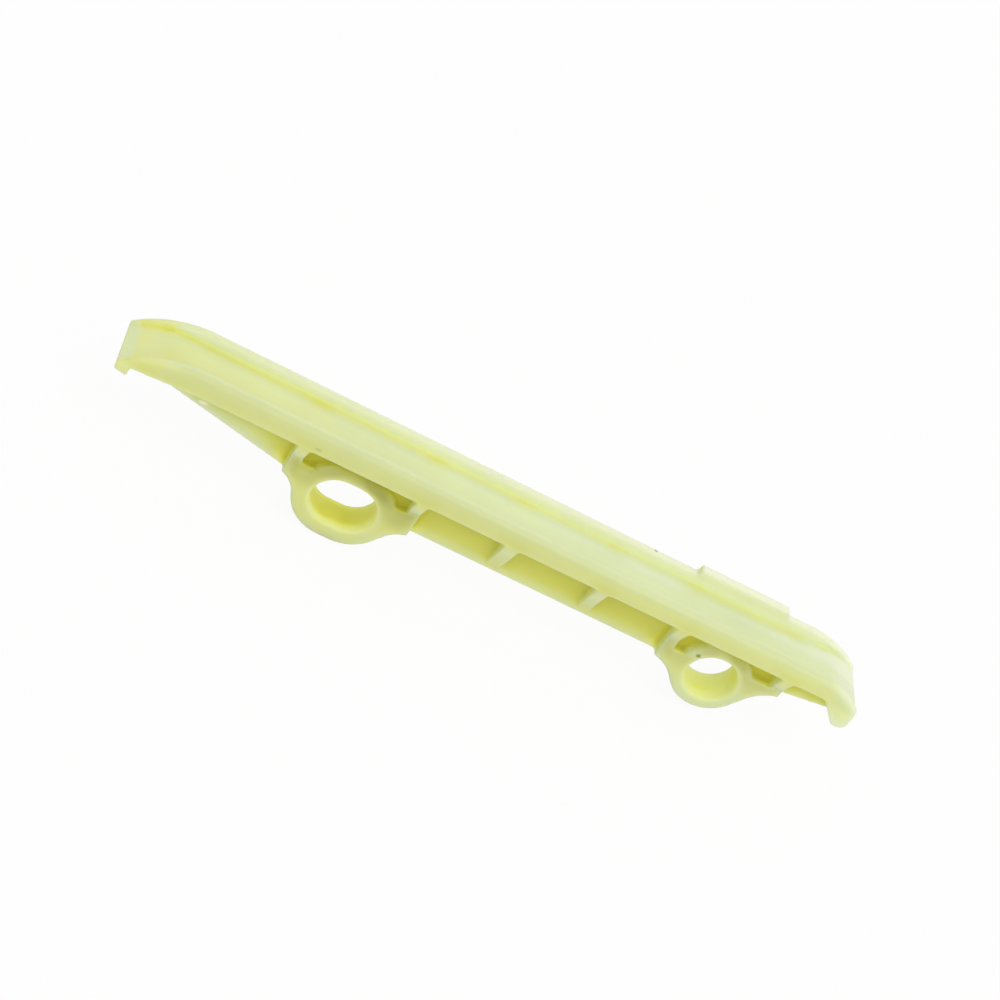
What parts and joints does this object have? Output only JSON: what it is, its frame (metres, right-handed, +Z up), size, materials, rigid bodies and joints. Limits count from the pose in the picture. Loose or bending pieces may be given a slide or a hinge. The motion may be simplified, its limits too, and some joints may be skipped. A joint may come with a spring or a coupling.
{
  "type": "timing chain guide",
  "caption": "Moulded guide rail whose shallow lipped channel a timing chain runs along, on a ribbed web with bolt ears that have a round hole and a slot.",
  "frame": {"origin": "on the axis of the round bolt hole, in the seat face at the back of its boss", "axes": "+X along the rail towards the end with the round hole, +Y from the front to the back along the bolts, +Z up to the side the chain runs on"},
  "size_m": [0.1264, 0.012, 0.0195],
  "materials": {
    "moulded_nylon": "translucent natural nylon, satin from the mould"
  },
  "bodies": {
    "root": {"chain_guide": "moulded_nylon"}
  },
  "joints": []
}
